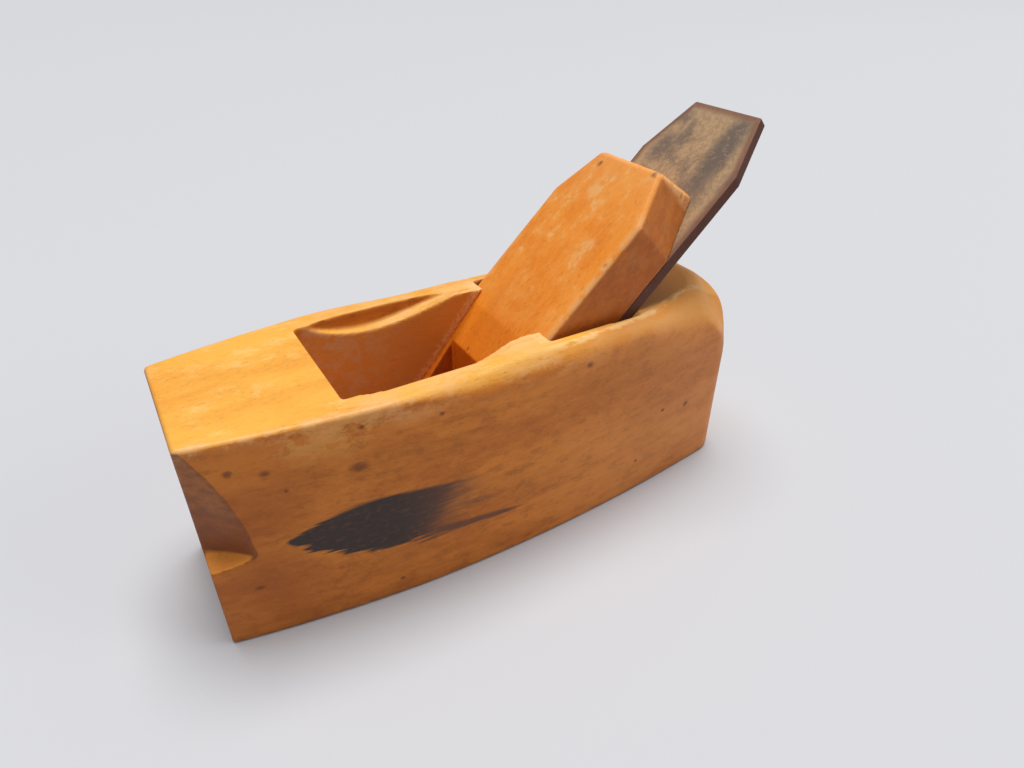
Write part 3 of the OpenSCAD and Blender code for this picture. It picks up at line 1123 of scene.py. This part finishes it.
# %% Iron and steel finishes
khaki, dark_oxide = (0.50, 0.325, 0.18), (0.15, 0.115, 0.10)
clean_steel, dull_steel = (0.42, 0.41, 0.40), (0.28, 0.26, 0.25)
rust, edge_rust, black_speck = (0.22, 0.095, 0.065), (0.10, 0.034, 0.022), (0.05, 0.032, 0.026)


def rusted_rim(up_plate, across, ragged):
    """1 on the plate's rim, also along its clipped corners, with a ragged inner edge."""
    clip_slope = (iron_half - iron_top_half) / iron_clip
    side_gap = across.abs() * -1 + iron_half
    clip_gap = side_gap - (up_plate - (iron_length - iron_clip)).high(0.0) * clip_slope
    gap = clip_gap.low(up_plate * -1 + iron_length) + (ragged - 0.5) * (3.4 * MM)
    return gap.ramp(3.0, 0.6)


def plate_finish(name, skin_colour, blotch_colour, rust_share, metal, stains=()):
    """An oxide skin with blotches, and rust on the rim and the flanks, over bare metal."""
    finish, tree, shader = new_finish(name)
    along_iron, across, out = parts(tree, place(tree, bed_angle))
    up_plate = along_iron - foot_along
    blotch = cloud(tree, bed_angle, (90, 90, 90), (3, 1, 4), detail=5, rough=0.65, twist=0.3)
    fine = cloud(tree, bed_angle, (700, 700, 700), detail=5, rough=0.75)
    grit = cloud(tree, bed_angle, (1700, 1700, 1700), detail=2)
    rim = rusted_rim(up_plate, across, fine)
    flank = facing(tree)[1].abs().step(0.4, 0.8)
    colour = blend_colour(blotch.step(0.47, 0.66) * 0.75, skin_colour, blotch_colour)
    for centre, radii, strength in stains:
        stain = (oval(up_plate, across, centre, radii) + (blotch - 0.5) * 2.2).step(1.5, 0.5)
        colour = colour.coat(blotch_colour, stain * strength)
    colour = colour.coat([c * 0.45 for c in skin_colour], fine.step(0.44, 0.66) * 0.45)
    colour = colour.coat([c * 1.3 for c in skin_colour], fine.step(0.50, 0.32) * 0.35)
    colour = colour.coat(rust, rim * rust_share)
    colour = colour.coat(edge_rust, flank * 0.85)
    colour = colour.coat(black_speck, grit.step(0.66, 0.74) * 0.6)
    plug(tree, colour, shader.inputs["Base Color"])
    shader.inputs["Metallic"].default_value = metal
    plug(tree, fine * 0.25 + rim * 0.15 + 0.42, shader.inputs["Roughness"])
    shader.inputs["Specular IOR Level"].default_value = 0.3
    raise_surface(tree, shader, fine * 0.5 + grit * 0.3 + rim * fine * 1.2, 0.10 * MM)
    return finish


stains = [((141, -9), (13, 4), 0.95), ((137, 12), (5, 3.5), 0.75), ((127, -9), (7, 5), 0.6)]
oxide = plate_finish("oxide_iron", khaki, dark_oxide, 0.85, metal=0.15, stains=stains)
give(iron, oxide)
steel = plate_finish("facing_steel", clean_steel, dull_steel, 0.3, metal=0.9)
give(frame["nodes"]["cutting_steel"], steel)

# %% [markdown]
# ## Floor and light
# A plain pale floor, and a soft, wide sun nearly overhead that leans a little from the heel and the
# far side. A weak, warm fill opens the near side, and a dim, slightly blue world lights the rest.

# %% Stage
pale_floor, warm_white = (0.58, 0.59, 0.625, 1), (1.0, 0.985, 0.95)
warm_fill, cool_sky = (1.0, 0.97, 0.93), (0.90, 0.93, 1.0, 1)


def stand(name, data, spot, look, roll=0.0):
    """Puts a lamp or a camera at a spot, looking along a direction."""
    obj = bpy.data.objects.new(name, data)
    obj.location = spot
    obj.rotation_mode = "QUATERNION"
    turned = Matrix.Rotation(roll, 3, "Z").to_quaternion()
    obj.rotation_quaternion = look.to_track_quat("-Z", "Y") @ turned
    bpy.context.scene.collection.objects.link(obj)
    return obj


bm = bmesh.new()
bmesh.ops.create_grid(bm, x_segments=1, y_segments=1, size=6.0)
floor = as_object("floor", bm)
finish, tree, shader = new_finish("pale_floor")
shader.inputs["Base Color"].default_value = pale_floor
shader.inputs["Roughness"].default_value = 0.9
give(floor, finish)
sun = bpy.data.lights.new("overhead", "SUN")
sun.energy = 2.95
sun.angle = math.radians(34)
sun.color = warm_white
stand("overhead", sun, (0, 0, 0), Vector((-0.28, -0.35, -3.0)))
fill = bpy.data.lights.new("fill", "AREA")
fill.shape = "DISK"
fill.size = 1.4
fill.energy = 9.0
fill.color = warm_fill
fill_spot = Vector((1.8, -1.4, 1.2))
stand("fill", fill, fill_spot, Vector((0, 0, 0.03)) - fill_spot)
world = bpy.data.worlds.new("studio")
world.use_nodes = True
sky = world.node_tree.nodes["Background"]
sky.inputs["Color"].default_value = cool_sky
sky.inputs["Strength"].default_value = 0.27
bpy.context.scene.world = world
bpy.context.scene.view_settings.view_transform = "Standard"
print("lights:", [light.name for light in bpy.data.lights])

# %% [markdown]
# ## Camera
# The camera stands close to the toe corner with a wide lens, looking down, like somebody who leans
# over a bench.

# %% Camera
camera_data = bpy.data.cameras.new("camera")
camera_data.lens = 24.69
camera_data.sensor_width = 36
camera_spot = (toe + 1.5 * MM, -152.6 * MM, 153.4 * MM)
azimuth, pitch, roll = math.radians(-31.33), math.radians(33.3), math.radians(0.26)
level = Vector((-math.sin(azimuth), math.cos(azimuth), 0))
look = level * math.cos(pitch) - Vector((0, 0, math.sin(pitch)))
bpy.context.scene.camera = stand("camera", camera_data, camera_spot, look, roll)
print(f"camera {camera_spot[2] / MM:.0f} mm up, looking down {math.degrees(pitch):.0f} degrees")

# %% [markdown]
